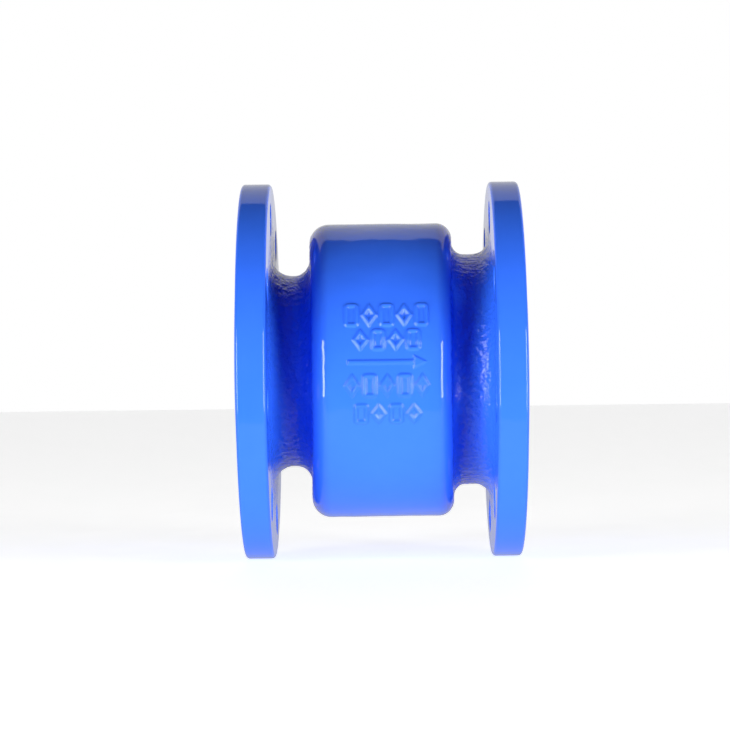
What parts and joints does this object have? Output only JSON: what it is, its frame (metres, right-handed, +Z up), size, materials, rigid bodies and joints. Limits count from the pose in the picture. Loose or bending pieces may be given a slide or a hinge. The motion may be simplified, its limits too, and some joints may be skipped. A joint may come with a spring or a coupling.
{
  "type": "silent check valve",
  "caption": "Double-flanged silent check valve with a bulged cast body, a spring-loaded centre-guided disc and a ribbed guide cage at the outlet.",
  "frame": {"origin": "on the flow axis, midway between the two flange faces", "axes": "+X along the flow, out of the outlet; +Z up; the raised flow arrow is on the -Y side"},
  "size_m": [0.165, 0.22, 0.22],
  "materials": {
    "blue_coating": "glossy fusion-bonded epoxy over sand-cast iron",
    "stainless": "fine turned",
    "cast_stainless": "turned casting",
    "stem_steel": "ground",
    "screw_steel": "bright, formed",
    "zinc_steel": "dull zinc plate",
    "spring_steel": "phosphated spring steel",
    "spring_wire": "drawn wire",
    "bronze": "turned bearing bronze",
    "rubber": "moulded, matt"
  },
  "bodies": {
    "housing": {"body_casting": "blue_coating", "seat_ring": "stainless", "seat_o_ring": "rubber", "seat_lock_screws": "zinc_steel", "guide_cage": "blue_coating", "cage_retaining_ring": "spring_steel", "front_bush": "bronze", "rear_bush": "bronze", "stop_ring": "rubber", "tail_cap": "stainless", "tail_cap_lock_screw": "zinc_steel", "return_spring": "spring_wire"},
    "spring_washer": {"spring_seat_washer": "stainless"},
    "disc": {"valve_disc": "cast_stainless", "disc_seal": "rubber", "seal_clamp_plate": "cast_stainless", "clamp_screws": "screw_steel", "clamp_screw_washers": "zinc_steel", "stem": "stem_steel", "stem_o_ring": "rubber", "stem_nut": "screw_steel", "stem_nut_washer": "zinc_steel", "split_pin": "zinc_steel"}
  },
  "joints": [
    {"name": "disc_lift", "type": "slide", "parent": "housing", "child": "spring_washer", "axis": [1, 0, 0], "range_m": [0, 0.025], "stiffness_N_per_m": 1200, "springref_m": -0.018, "deforming": ["return_spring"]},
    {"name": "disc_spin", "type": "hinge", "parent": "spring_washer", "child": "disc", "pos_m": [0, 0, 0], "axis": [1, 0, 0], "continuous": true}
  ]
}
